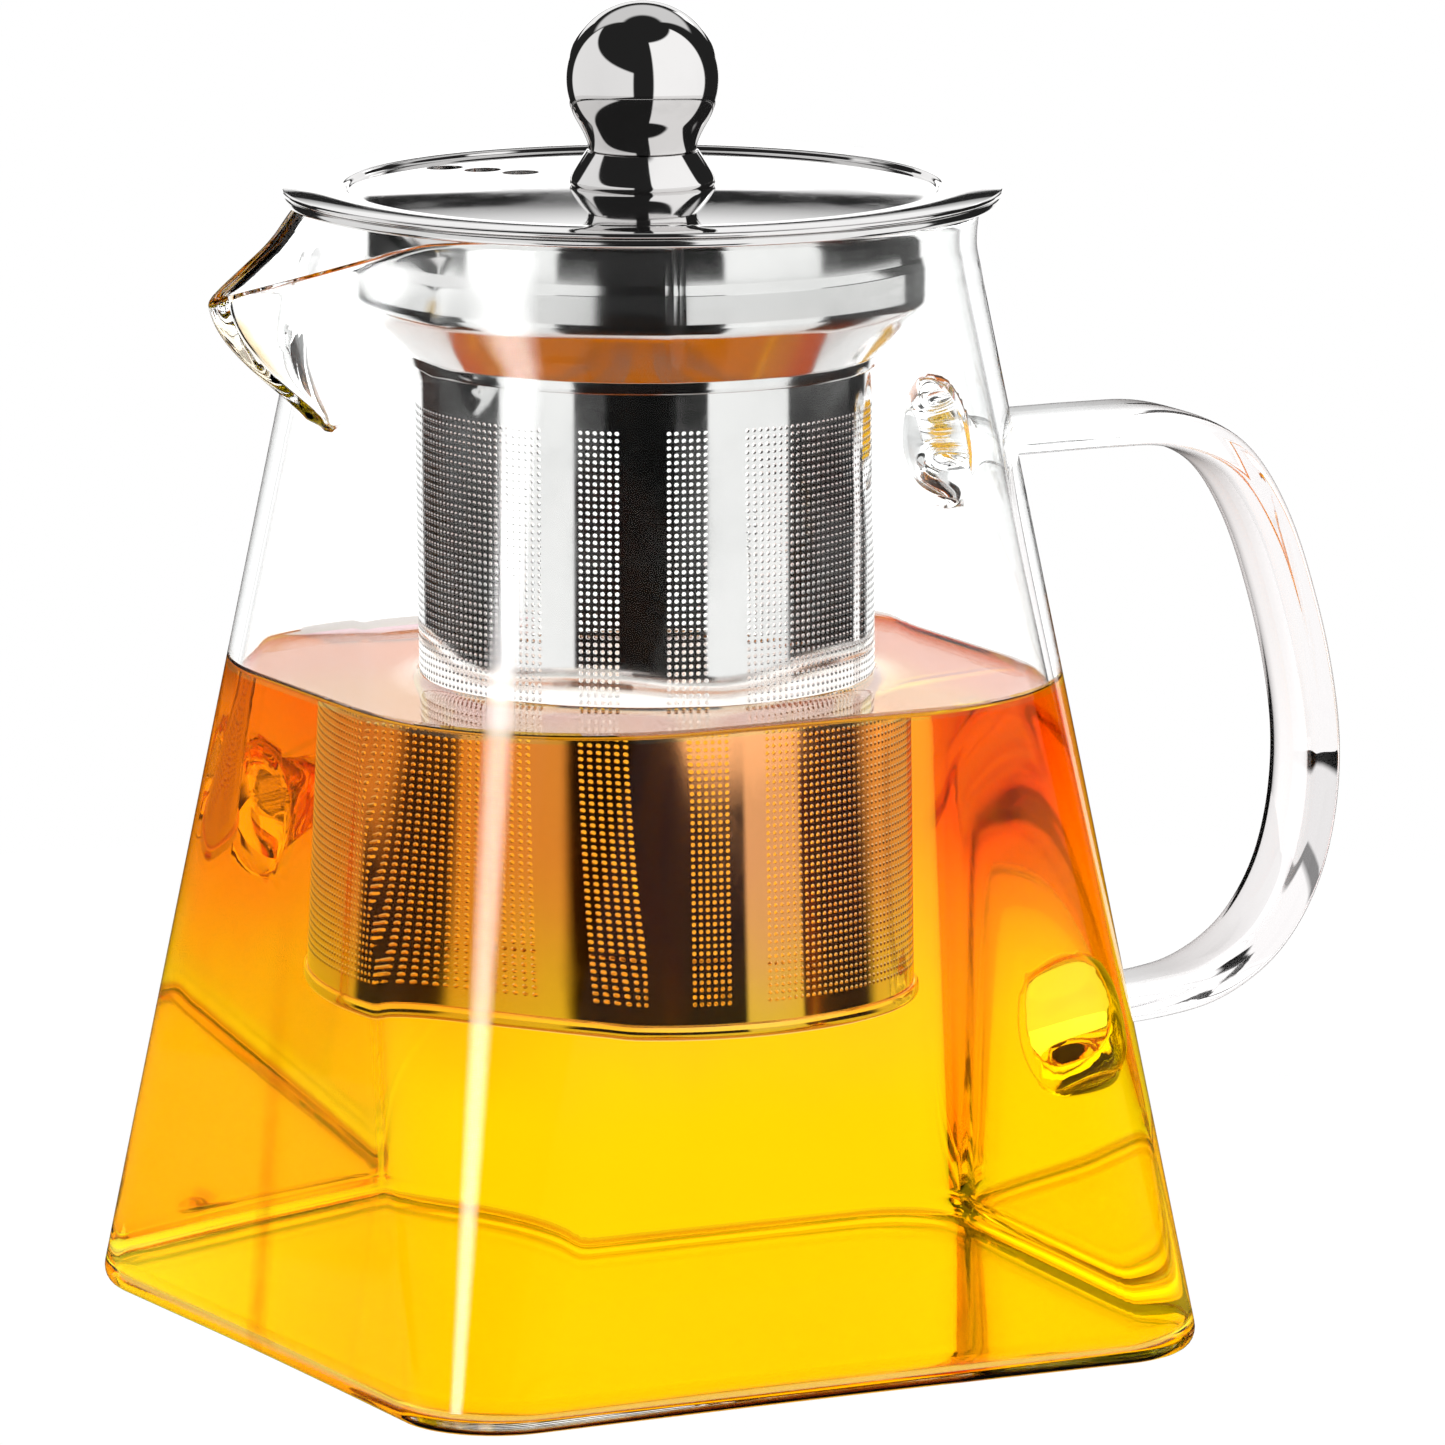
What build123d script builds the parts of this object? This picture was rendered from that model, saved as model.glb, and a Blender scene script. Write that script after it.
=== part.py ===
from build123d import *
import os
from math import cos, radians, sin

"""Glass teapot with a lift-out stainless steel infuser and lid.

Millimetres, +Z up. The origin is the centre of the foot, on the table. The handle is on +X and
the spout on -X. The fused handle overlaps the body; all other pieces keep a small gap.
"""

# ------------------------------------------------------------------ driving sizes
GAP = 0.05  # between pieces that rest on each other

# glass body: a rounded square at the foot that runs out into a round neck
FOOT_SIDE = 100.0
FOOT_CORNER = 11.1
SHOULDER_Z = 121.0
SHOULDER_R = 38.6
NECK_Z = 125.0
NECK_R = 37.95
RIM_Z = 129.6
LIP_R = 38.4
WALL = 2.0
FLOOR = 1.8
FOOT_ROUNDING = 3.0
FLOOR_ROUNDING = 2.2
TEA_Z = 75.0

# spout: a wedge pulled out of the neck, cut off along a slope
SPOUT_ROOT_X = -30.0
SPOUT_TIP_X = -54.4
SPOUT_TIP_Z = 122.0
SPOUT_RIM_X = -34.0
SPOUT_KEEL_RADIUS = 2.2
SPOUT_KEEL_WALL = 2.6

# handle: a flat glass strap
STRAP_WIDTH = 11.3
STRAP_THICKNESS = 4.6
STRAP_ROUNDING = 1.5
HANDLE_TOP_Z = 99.7
HANDLE_LOW_Z = 31.4
HANDLE_REACH = 87.3
PAD_RADIUS = 8.5
PAD_DEPTH = 3.4  # each way from the middle of the wall

# stainless sheet and the infuser
SHEET = 0.5
SCREEN_SHEET = 0.35
FLANGE_R = 40.9
HEM = 1.1
CUP_R = 32.3
BULGE_R = 32.8
BULGE_Z = 119.5
TUBE_R = 26.1
TUBE_TOP_Z = 112.0
TUBE_BOTTOM_Z = 38.0
TUBE_LAP = 1.8  # how far the tube reaches up inside the collar
BASE_LIP = 1.5
INFUSER_CLEARANCE = 0.6  # between the infuser and the tea around it

# lid and knob
LID_SHEET = 0.6
LID_R = 41.15
DISH_R = 33.6
DISH_STEP = 0.6  # down from the flange to the dish's edge
DISH_RISE = 0.5  # of the dish from its edge to its centre
VENT_RADIUS = 1.75
VENT_FIRST_R = 17.5
VENT_PITCH = 5.5
VENT_COUNT = 3
VENT_ANGLE = 116.0
SKIRT_R = 31.3
SKIRT_DEPTH = 8.0
SKIRT_FOLD = 0.9
BALL_R = 8.9
WAIST_R = 5.9
KNOB_FOOT_R = 8.3
SEAM_ABOVE_DISH = 4.1
SCREW_R = 2.0
SCREW_HEAD_R = 3.8
SCREW_HEAD_THICKNESS = 2.2
THREAD_GRIP = 5.5
WASHER_R = 5.0
WASHER_THICKNESS = 0.8

# ------------------------------------------------------------------ sizes that follow
FLANGE_Z = RIM_Z + GAP  # underside of the infuser's flange
LID_UNDER_Z = FLANGE_Z + HEM + GAP
LID_TOP_Z = LID_UNDER_Z + LID_SHEET
DISH_EDGE_Z = LID_TOP_Z - DISH_STEP
DISH_TOP_Z = DISH_EDGE_Z + DISH_RISE
SEAM_Z = DISH_TOP_Z + SEAM_ABOVE_DISH  # between the knob's foot and its ball
BALL_Z = SEAM_Z + 8.1
SCREW_END_Z = SEAM_Z + THREAD_GRIP

os.makedirs("parts", exist_ok=True)


def half_side(height):
    """Half the width of the glass body's outside at a height."""
    return FOOT_SIDE / 2 + (SHOULDER_R - FOOT_SIDE / 2) * height / SHOULDER_Z


def corner_radius(height):
    """Corner radius of the glass body's outside at a height."""
    return FOOT_CORNER + (SHOULDER_R - FOOT_CORNER) * height / SHOULDER_Z


def body_loft(low, high, inset=0.0, mode=Mode.ADD):
    """Lofts the body's rounded square from one height to another: flat faces, conical corners."""
    sections = []
    for height in (low, high):
        half = half_side(height) - inset
        radius = min(corner_radius(height) - inset, half - 0.05)
        with BuildSketch(Plane.XY.offset(height)) as section:
            RectangleRounded(2 * half, 2 * half, radius)
        sections.append(section.sketch)
    loft(sections, ruled=True, mode=mode)


# each level of the spout: its height, where its keel is, and half its width at the root
SPOUT_LEVELS = [
    (105.0, -39.6, 4.0),
    (110.3, -44.6, 9.0),
    (116.5, -51.2, 14.0),
    (SPOUT_TIP_Z, SPOUT_TIP_X, 17.5),
    (132.0, -57.8, 21.0),
]


def spout_loft(wall=0.0, keel_wall=0.0, keel_radius=SPOUT_KEEL_RADIUS, mode=Mode.ADD):
    """Lofts the spout's wedge through its levels, shrunk by its side and keel walls."""
    sections = []
    for level, keel_x, half_root in SPOUT_LEVELS:
        root = half_root - 1.3 * wall
        tip = (keel_x + keel_wall, 0)
        with BuildSketch(Plane.XY.offset(level)) as wedge:
            with BuildLine():
                Polyline((SPOUT_ROOT_X, -root), tip, (SPOUT_ROOT_X, root), close=True)
            make_face()
            fillet(wedge.vertices().sort_by(Axis.X)[0], keel_radius)
        sections.append(wedge.sketch)
    loft(sections, mode=mode)


def handle_pad(height, grow=0.0, mode=Mode.ADD):
    """The round pad of glass that fuses an end of the handle to the wall."""
    wall_x = half_side(height) - WALL / 2
    with BuildPart(mode=Mode.PRIVATE) as pad:
        with BuildSketch(Plane.YZ.offset(wall_x)):
            with Locations((0, height)):
                Circle(PAD_RADIUS + grow)
        extrude(amount=PAD_DEPTH + grow, both=True)
        fillet(pad.edges(), PAD_DEPTH - 0.2)
    add(pad.part, mode=mode)


# ------------------------------------------------------------------ glass body
with BuildPart() as glass_body:
    body_loft(0, SHOULDER_Z)
    fillet(glass_body.edges().group_by(Axis.Z)[0], FOOT_ROUNDING)
    spout_loft()
    # hollow the body and the neck
    body_loft(FLOOR, SHOULDER_Z, inset=WALL, mode=Mode.SUBTRACT)
    floor_edges = glass_body.edges().filter_by_position(Axis.Z, FLOOR - GAP, FLOOR + GAP)
    fillet(floor_edges, FLOOR_ROUNDING)
    with BuildSketch(Plane.XY.offset(SHOULDER_Z)):
        Circle(SHOULDER_R - WALL / 2)
    extrude(amount=20, mode=Mode.SUBTRACT)
    # the neck's wall, with a rounded rim
    with BuildSketch(Plane.XZ):
        with BuildLine():
            rim_mid = RIM_Z - WALL / 2
            outside = Spline((SHOULDER_R, SHOULDER_Z), (NECK_R, NECK_Z), (LIP_R, rim_mid))
            inside = Spline(
                (SHOULDER_R - WALL, SHOULDER_Z),
                (NECK_R - WALL, NECK_Z),
                (LIP_R - WALL, rim_mid),
            )
            ThreePointArc(outside @ 1, (LIP_R - WALL / 2, RIM_Z), inside @ 1)
            Line(outside @ 0, inside @ 0)
        make_face()
    revolve()
    # open the spout into the neck and cut its rim along the slope
    spout_loft(wall=WALL, keel_wall=SPOUT_KEEL_WALL, keel_radius=1.0, mode=Mode.SUBTRACT)
    with BuildSketch(Plane.XZ):
        with BuildLine():
            Polyline(
                (SPOUT_RIM_X, RIM_Z),
                (SPOUT_TIP_X, SPOUT_TIP_Z),
                (SPOUT_TIP_X - 10, SPOUT_TIP_Z - 4),
                (SPOUT_TIP_X - 10, RIM_Z + 5),
                (0, RIM_Z + 5),
                (0, RIM_Z),
                close=True,
            )
        make_face()
    extrude(amount=40, both=True, mode=Mode.SUBTRACT)

# ------------------------------------------------------------------ glass handle
with BuildPart() as glass_handle:
    with BuildLine(Plane.XZ) as grip_path:
        top_run = Line((half_side(HANDLE_TOP_Z) - WALL / 2, HANDLE_TOP_Z), (58, HANDLE_TOP_Z))
        grip = Spline(
            top_run @ 1,
            (66.5, HANDLE_TOP_Z - 0.3),
            (75, 95.5),
            (80.4, 87.6),
            (84.2, 77),
            (HANDLE_REACH, 59.6),
            (84.7, 44.4),
            (77.4, 35.6),
            (69, HANDLE_LOW_Z + 0.7),
            (58, HANDLE_LOW_Z),
        )
        Line(grip @ 1, (half_side(HANDLE_LOW_Z) - WALL / 2, HANDLE_LOW_Z))
    with BuildSketch(Plane(origin=top_run @ 0, x_dir=(0, 1, 0), z_dir=(1, 0, 0))):
        RectangleRounded(STRAP_WIDTH, STRAP_THICKNESS, STRAP_ROUNDING)
    sweep()
    for root_z in (HANDLE_TOP_Z, HANDLE_LOW_Z):
        handle_pad(root_z)

# ------------------------------------------------------------------ tea
with BuildPart() as tea:
    body_loft(FLOOR + GAP, TEA_Z, inset=WALL + GAP)
    fillet(tea.edges().group_by(Axis.Z)[0], FLOOR_ROUNDING)
    with Locations((0, 0, TUBE_BOTTOM_Z - INFUSER_CLEARANCE)):
        Cylinder(
            TUBE_R + INFUSER_CLEARANCE,
            TEA_Z,
            align=(Align.CENTER, Align.CENTER, Align.MIN),
            mode=Mode.SUBTRACT,
        )
    handle_pad(HANDLE_LOW_Z, grow=GAP, mode=Mode.SUBTRACT)

# ------------------------------------------------------------------ infuser collar
LAP_R = TUBE_R + GAP + SHEET / 2  # middle of the sheet where the collar grips the tube
with BuildPart() as infuser_collar:
    with BuildSketch(Plane.XZ):
        with BuildLine():
            FilletPolyline(
                (FLANGE_R - HEM / 2, FLANGE_Z + SHEET / 2),
                (CUP_R - SHEET / 2, FLANGE_Z + SHEET / 2),
                (CUP_R - SHEET / 2, BULGE_Z + 4.6),
                (BULGE_R - SHEET / 2, BULGE_Z + 3.2),
                (BULGE_R - SHEET / 2, BULGE_Z - 0.6),
                (LAP_R, TUBE_TOP_Z + 0.6),
                (LAP_R, TUBE_TOP_Z - 0.6),
                radius=(1.2, 0.6, 1.2, 2.6, 0.5),
            )
        trace(line_width=SHEET)
        with Locations((FLANGE_R - HEM / 2, FLANGE_Z + HEM / 2)):
            Circle(HEM / 2)
    revolve()

# ------------------------------------------------------------------ infuser screen
with BuildPart() as infuser_screen:
    with BuildSketch(Plane.XY.offset(TUBE_BOTTOM_Z + SHEET + GAP)):
        Circle(TUBE_R)
        Circle(TUBE_R - SCREEN_SHEET, mode=Mode.SUBTRACT)
    extrude(amount=TUBE_TOP_Z + TUBE_LAP - TUBE_BOTTOM_Z - SHEET)

# ------------------------------------------------------------------ infuser base
with BuildPart() as infuser_base:
    with BuildSketch(Plane.XZ):
        with BuildLine():
            FilletPolyline(
                (0, TUBE_BOTTOM_Z + SHEET / 2),
                (LAP_R, TUBE_BOTTOM_Z + SHEET / 2),
                (LAP_R, TUBE_BOTTOM_Z + BASE_LIP),
                radius=0.4,
            )
        trace(line_width=SHEET)
    revolve()

# ------------------------------------------------------------------ lid shell
with BuildPart() as lid_shell:
    with BuildSketch(Plane.XZ):
        with BuildLine():
            flange_mid = LID_TOP_Z - LID_SHEET / 2
            dish_edge = (DISH_R - 0.3, DISH_EDGE_Z - LID_SHEET / 2)
            rim = Line((LID_R - LID_SHEET / 2, flange_mid), (DISH_R + 0.3, flange_mid))
            step = Line(rim @ 1, dish_edge)
            ThreePointArc(
                step @ 1,
                (DISH_R / 2, DISH_TOP_Z - LID_SHEET / 2 - DISH_RISE / 4),
                (0, DISH_TOP_Z - LID_SHEET / 2),
            )
        trace(line_width=LID_SHEET)
        with Locations((LID_R - LID_SHEET / 2, flange_mid)):
            Circle(LID_SHEET / 2)
        with Locations((0, DISH_TOP_Z)):
            Rectangle(2 * (SCREW_R + 0.2), 6, mode=Mode.SUBTRACT)
    revolve()
    # three steam vents in a row
    with Locations(Rotation(0, 0, VENT_ANGLE)):
        with Locations([(VENT_FIRST_R + VENT_PITCH * i, 0, LID_TOP_Z) for i in range(VENT_COUNT)]):
            Cylinder(VENT_RADIUS, 8, mode=Mode.SUBTRACT)

# ------------------------------------------------------------------ lid skirt
with BuildPart() as lid_skirt:
    fold_z = DISH_EDGE_Z - LID_SHEET - SHEET - 0.4
    with BuildSketch(Plane.XZ):
        with BuildLine():
            FilletPolyline(
                (SKIRT_R - SKIRT_FOLD, fold_z),
                (SKIRT_R - SHEET / 2, fold_z),
                (SKIRT_R - SHEET / 2, fold_z - SKIRT_DEPTH),
                radius=0.3,
            )
        trace(line_width=SHEET)
    revolve()

# ------------------------------------------------------------------ knob
with BuildPart() as knob_foot:
    base_z = DISH_TOP_Z + 0.1
    with BuildSketch(Plane.XZ):
        with BuildLine():
            Polyline((SCREW_R + 0.1, SEAM_Z - GAP), (SCREW_R + 0.1, base_z), (KNOB_FOOT_R, base_z))
            foot_edge = Line((KNOB_FOOT_R, base_z), (KNOB_FOOT_R, base_z + 0.5))
            bell = ThreePointArc(
                foot_edge @ 1,
                (KNOB_FOOT_R - 0.7, base_z + 2.4),
                (WAIST_R, SEAM_Z - GAP),
            )
            Line(bell @ 1, (SCREW_R + 0.1, SEAM_Z - GAP))
        make_face()
    revolve()

with BuildPart() as knob_ball:
    with Locations((0, 0, BALL_Z)):
        Sphere(BALL_R)
    # the throat runs down from the ball, at a tangent, to the seam
    throat_angle = 30
    throat_top = (BALL_R * cos(radians(throat_angle)), BALL_Z - BALL_R * sin(radians(throat_angle)))
    with BuildSketch(Plane.XZ):
        with BuildLine():
            throat = Spline(
                (WAIST_R, SEAM_Z),
                throat_top,
                tangents=((0, 1), (sin(radians(throat_angle)), cos(radians(throat_angle)))),
            )
            Polyline(throat @ 1, (SCREW_R / 2, throat_top[1]), (SCREW_R / 2, SEAM_Z), throat @ 0)
        make_face()
    revolve()
    split(bisect_by=Plane.XY.offset(SEAM_Z), keep=Keep.TOP)
    with Locations((0, 0, SEAM_Z)):
        Cylinder(
            SCREW_R + GAP,
            THREAD_GRIP + 0.5,
            align=(Align.CENTER, Align.CENTER, Align.MIN),
            mode=Mode.SUBTRACT,
        )

with BuildPart() as knob_washer:
    washer_top = DISH_TOP_Z - LID_SHEET - GAP
    with BuildSketch(Plane.XY.offset(washer_top - WASHER_THICKNESS)):
        Circle(WASHER_R)
        Circle(SCREW_R + 0.2, mode=Mode.SUBTRACT)
    extrude(amount=WASHER_THICKNESS)
    chamfer(knob_washer.edges().group_by(Axis.Z)[0], 0.15)

with BuildPart() as knob_screw:
    head_top = washer_top - WASHER_THICKNESS - GAP
    with Locations((0, 0, head_top)):
        Cylinder(SCREW_HEAD_R, SCREW_HEAD_THICKNESS, align=(Align.CENTER, Align.CENTER, Align.MAX))
        Cylinder(SCREW_R, SCREW_END_Z - head_top, align=(Align.CENTER, Align.CENTER, Align.MIN))
    fillet(knob_screw.edges().group_by(Axis.Z)[0], 0.9)
    with BuildSketch(Plane.XY.offset(head_top - SCREW_HEAD_THICKNESS)):
        with PolarLocations(0, 2, angular_range=180):
            Rectangle(3.6, 0.9)
    extrude(amount=1.2, taper=12, mode=Mode.SUBTRACT)
    chamfer(knob_screw.edges().group_by(Axis.Z)[-1], 0.4)

# ------------------------------------------------------------------ write the pieces
PIECES = {
    "glass_body": glass_body,
    "glass_handle": glass_handle,
    "tea": tea,
    "infuser_collar": infuser_collar,
    "infuser_screen": infuser_screen,
    "infuser_base": infuser_base,
    "lid_shell": lid_shell,
    "lid_skirt": lid_skirt,
    "knob_foot": knob_foot,
    "knob_ball": knob_ball,
    "knob_washer": knob_washer,
    "knob_screw": knob_screw,
}
for name, piece in PIECES.items():
    piece.part.label = name
    export_step(piece.part, f"parts/{name}.step")
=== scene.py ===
"""Looks of the glass teapot: blown glass, tea, a perforated infuser and a polished lid.

Shapes are worked out in millimetres in the part's own frame and scaled to metres at the end.
The handle is on +X and the spout on -X. Heights and radii come from the CAD nodes' boxes.
"""
from math import atan2, cos, pi, radians, sin, sqrt, tan

import bpy
import numpy as np
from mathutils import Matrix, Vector


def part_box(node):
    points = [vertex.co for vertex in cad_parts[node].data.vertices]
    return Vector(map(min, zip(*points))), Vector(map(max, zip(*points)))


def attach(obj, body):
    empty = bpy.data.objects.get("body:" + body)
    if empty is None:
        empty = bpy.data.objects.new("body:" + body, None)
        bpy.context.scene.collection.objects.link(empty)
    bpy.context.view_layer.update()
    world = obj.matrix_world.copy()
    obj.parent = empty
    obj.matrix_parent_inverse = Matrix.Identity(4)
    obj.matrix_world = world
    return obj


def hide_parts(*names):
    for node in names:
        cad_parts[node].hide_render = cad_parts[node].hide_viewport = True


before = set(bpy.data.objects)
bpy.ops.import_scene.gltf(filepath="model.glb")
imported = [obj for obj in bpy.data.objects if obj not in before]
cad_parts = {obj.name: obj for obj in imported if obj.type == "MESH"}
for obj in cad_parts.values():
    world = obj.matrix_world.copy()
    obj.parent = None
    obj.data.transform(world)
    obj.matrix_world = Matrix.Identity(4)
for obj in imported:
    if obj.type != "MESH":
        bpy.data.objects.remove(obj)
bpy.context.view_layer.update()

MM = 0.001


def low(node):
    """Lowest corner of a CAD node in millimetres."""
    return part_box(node)[0] / MM


def high(node):
    """Highest corner of a CAD node in millimetres."""
    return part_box(node)[1] / MM


# ------------------------------------------------------------------ sizes, in mm
FOOT_HALF = 50.0  # half the foot's side, before its edge is rounded
FOOT_CORNER = 11.1
SHOULDER_Z = 121.0
SHOULDER_R = 38.6
NECK_R = 37.95
LIP_R = 38.4
RIM_Z = high("glass_body").z
WALL = 2.0
FLOOR = 1.8
FOOT_ROUNDING = 3.0
FLOOR_ROUNDING = 2.2
TEA_Z = high("tea").z
TUBE_R = high("infuser_screen").x
TUBE_LOW = low("infuser_screen").z
TUBE_HIGH = high("infuser_screen").z
TUBE_SHEET = 0.35
COLLAR_LOW = low("infuser_collar").z
FLANGE_R = high("infuser_collar").x
FLANGE_TOP = high("infuser_collar").z
LID_R = high("lid_shell").x
LID_TOP = high("lid_shell").z
KNOB_TOP = high("knob_ball").z
SEAM_Z = low("knob_ball").z

SPOUT_TIP_X = 54.4
SPOUT_TIP_Z = 122.0
SPOUT_HALF_ANGLE = radians(39.0)
SPOUT_ROOT_Z = 107.3
SPOUT_ROOT_X = 42.3
SPOUT_RIM_X = 33.5
SPOUT_ZONE_Z = 103.0
KEEL_ROUNDING = 1.1

# ------------------------------------------------------------------ camera, in metres
CAMERA_AT = (-0.6431, -1.2685, 0.3224)
CAMERA_AIM = (0.4508, 0.8753, -0.1752)
CAMERA_LENS = 314.6
CAMERA_TURN = atan2(CAMERA_AT[1], CAMERA_AT[0])
BOUNCES = 32  # enough for the light caught inside the spout and the foot


# ------------------------------------------------------------------ mesh tools
def enclosed_volume(points, faces):
    """Signed volume inside a closed mesh: positive where its faces look outwards."""
    total = 0.0
    for count in set(map(len, faces)):
        corners = points[np.array([f for f in faces if len(f) == count])]
        for k in range(1, count - 1):
            across = np.cross(corners[:, k], corners[:, k + 1])
            total += np.einsum("ij,ij->", corners[:, 0], across) / 6
    return total


def build_mesh(name, points, faces, sharp=35.0):
    """A mesh object from points in millimetres, smooth apart from edges sharper than an angle."""
    points = np.asarray(points, float)
    if enclosed_volume(points, faces) < 0:
        faces = [list(face)[::-1] for face in faces]
    mesh = bpy.data.meshes.new(name)
    mesh.from_pydata((points * MM).tolist(), [], faces)
    mesh.validate()
    mesh.update()
    obj = bpy.data.objects.new(name, mesh)
    bpy.context.scene.collection.objects.link(obj)
    mesh.shade_smooth()
    if sharp:
        mesh.set_sharp_from_angle(angle=radians(sharp))
    return obj


def grid_faces(rows, columns):
    """Quads between neighbouring rows of a grid whose columns run round a loop."""
    i, j = np.meshgrid(np.arange(rows - 1), np.arange(columns), indexing="ij")
    k = (j + 1) % columns
    quads = np.stack([i * columns + j, i * columns + k, (i + 1) * columns + k, (i + 1) * columns + j], -1)
    return quads.reshape(-1, 4).tolist()


def skin(name, rows, ends=None, **options):
    """A closed skin through rows of points. The first and last rows close to a fan at an end point."""
    rows = np.asarray(rows, float)
    count, columns = rows.shape[:2]
    points = rows.reshape(-1, 3)
    faces = grid_faces(count, columns)
    if ends is None:
        ends = np.array([rows[0].mean(0), rows[-1].mean(0)])
    first, last = len(points), len(points) + 1
    base = (count - 1) * columns
    for j in range(columns):
        k = (j + 1) % columns
        faces.append([first, k, j])
        faces.append([last, base + j, base + k])
    return build_mesh(name, np.vstack([points, ends]), faces, **options)


def lathe(name, outline, segments=256, **options):
    """Turns an outline of (radius, height) points about the axis.

    A closed outline makes a ring. Any other starts and ends on the axis.
    """
    outline = np.asarray(outline, float)
    turn = np.linspace(0, 2 * pi, segments, endpoint=False)
    ring = np.stack(
        [outline[:, :1] * np.cos(turn), outline[:, :1] * np.sin(turn), outline[:, 1:] + 0 * turn], -1
    )
    if np.allclose(outline[0], outline[-1]):
        ring = ring[:-1]
        faces = grid_faces(len(ring), segments)
        columns = segments
        base = (len(ring) - 1) * columns
        faces += [[base + j, base + (j + 1) % columns, (j + 1) % columns, j] for j in range(columns)]
        return build_mesh(name, ring.reshape(-1, 3), faces, **options)
    ends = [[0, 0, outline[0, 1]], [0, 0, outline[-1, 1]]]
    return skin(name, ring[1:-1], ends=np.array(ends), **options)


def rounded_path(points, radii, steps=10):
    """A line through points whose inner corners are rounded to the given radii."""
    points = [np.array(p, float) for p in points]
    path = [points[0]]
    for before, corner, after, radius in zip(points, points[1:], points[2:], radii):
        back, on = np.linalg.norm(before - corner), np.linalg.norm(after - corner)
        a = (before - corner) / back
        b = (after - corner) / on
        half = np.arccos(np.clip(a @ b, -1, 1)) / 2
        reach = min(radius / tan(half), 0.48 * back, 0.48 * on)
        start, end = corner + a * reach, corner + b * reach
        for t in np.linspace(0, 1, steps):
            path.append((1 - t) ** 2 * start + 2 * t * (1 - t) * corner + t * t * end)
    path.append(points[-1])
    return np.array(path)


def sheet(path, thickness, cap_steps=6):
    """The closed outline of a thin sheet along a path, with round ends."""
    path = np.asarray(path, float)
    along = np.gradient(path, axis=0)
    along /= np.linalg.norm(along, axis=1)[:, None]
    side = np.stack([-along[:, 1], along[:, 0]], 1) * thickness / 2
    caps = []
    for middle, direction, out in ((path[-1], along[-1], side[-1]), (path[0], -along[0], -side[0])):
        turn = np.linspace(0, pi, cap_steps)[1:-1, None]
        caps.append(middle + out * np.cos(turn) + direction * thickness / 2 * np.sin(turn))
    outline = np.vstack([path + side, caps[0], (path - side)[::-1], caps[1]])
    return np.vstack([outline, outline[:1]])


def blend_max(a, b, width):
    """The larger of a and b, with their crossing rounded over a width."""
    near = np.maximum(width - np.abs(a - b), 0) / width
    return np.maximum(a, b) + near**2 * width / 4


def boolean(obj, other, operation):
    """Joins or cuts obj with other, and removes other."""
    tool = obj.modifiers.new(operation.lower(), "BOOLEAN")
    tool.operation = operation
    tool.solver = "MANIFOLD"
    tool.object = other
    bpy.context.view_layer.update()
    result = bpy.data.meshes.new_from_object(obj.evaluated_get(bpy.context.evaluated_depsgraph_get()))
    obj.modifiers.clear()
    obj.data = result
    bpy.data.objects.remove(other)
    return obj


# ------------------------------------------------------------------ glass body
def column_angles(count=420):
    """Angles round the body, closer together at its corners and along the spout's keel."""
    fine = np.linspace(0, 2 * pi, 7201)
    fold = np.abs((fine + pi / 4) % (pi / 2) - pi / 4)
    density = 1 + 1.6 * np.exp(-(((fold - pi / 4) / 0.16) ** 2)) + 5 * np.exp(-(((fine - pi) / 0.07) ** 2))
    total = np.concatenate([[0], np.cumsum((density[1:] + density[:-1]) / 2)])
    return np.interp(np.arange(count) / count * total[-1], total, fine)


COLUMNS = column_angles()


def rounded_square(turn, half, radius):
    """Distance from the axis to a rounded square, in each direction."""
    fold = np.abs((turn + pi / 4) % (pi / 2) - pi / 4)
    centre = half - radius
    on_flat = half * np.tan(fold) <= centre
    flat = half / np.cos(fold)
    across = np.maximum(radius**2 - centre**2 * (np.cos(fold) - np.sin(fold)) ** 2, 0)
    corner = centre * (np.cos(fold) + np.sin(fold)) + np.sqrt(across)
    return np.where(on_flat, flat, corner)


def body_radius(turn, z, inset=0.0):
    """Outside of the square-to-round body at a height, shrunk by inset."""
    rise = z / SHOULDER_Z
    half = FOOT_HALF + (SHOULDER_R - FOOT_HALF) * rise - inset
    radius = FOOT_CORNER + (SHOULDER_R - FOOT_CORNER) * rise - inset
    return rounded_square(turn, half, min(radius, half))


def hermite(z, knots):
    """A smooth curve through knots of (z, value, slope)."""
    for (z0, a, ma), (z1, b, mb) in zip(knots, knots[1:]):
        if z <= z1:
            break
    t, span = min((z - z0) / (z1 - z0), 1), z1 - z0
    return (
        (2 * t**3 - 3 * t**2 + 1) * a
        + (t**3 - 2 * t**2 + t) * span * ma
        + (3 * t**2 - 2 * t**3) * b
        + (t**3 - t**2) * span * mb
    )


def neck_radius(z):
    """Outside of the round neck: in a little above the shoulder, then out to the lip."""
    body_slope = (SHOULDER_R - FOOT_HALF) / SHOULDER_Z
    return hermite(z, [(SHOULDER_Z, SHOULDER_R, body_slope), (125.0, NECK_R, 0), (RIM_Z, LIP_R, 0.14)])


def spout_reach(z):
    """How far out the spout's keel is at a height. Below its root it falls back into the wall."""
    rise = np.clip((z - SPOUT_ROOT_Z) / (SPOUT_TIP_Z - SPOUT_ROOT_Z), 0, 1)
    bow = np.sin(rise * pi / 2) ** 1.15
    return SPOUT_ROOT_X + (SPOUT_TIP_X - SPOUT_ROOT_X) * bow - 2.2 * np.maximum(SPOUT_ROOT_Z - z, 0)


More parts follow.
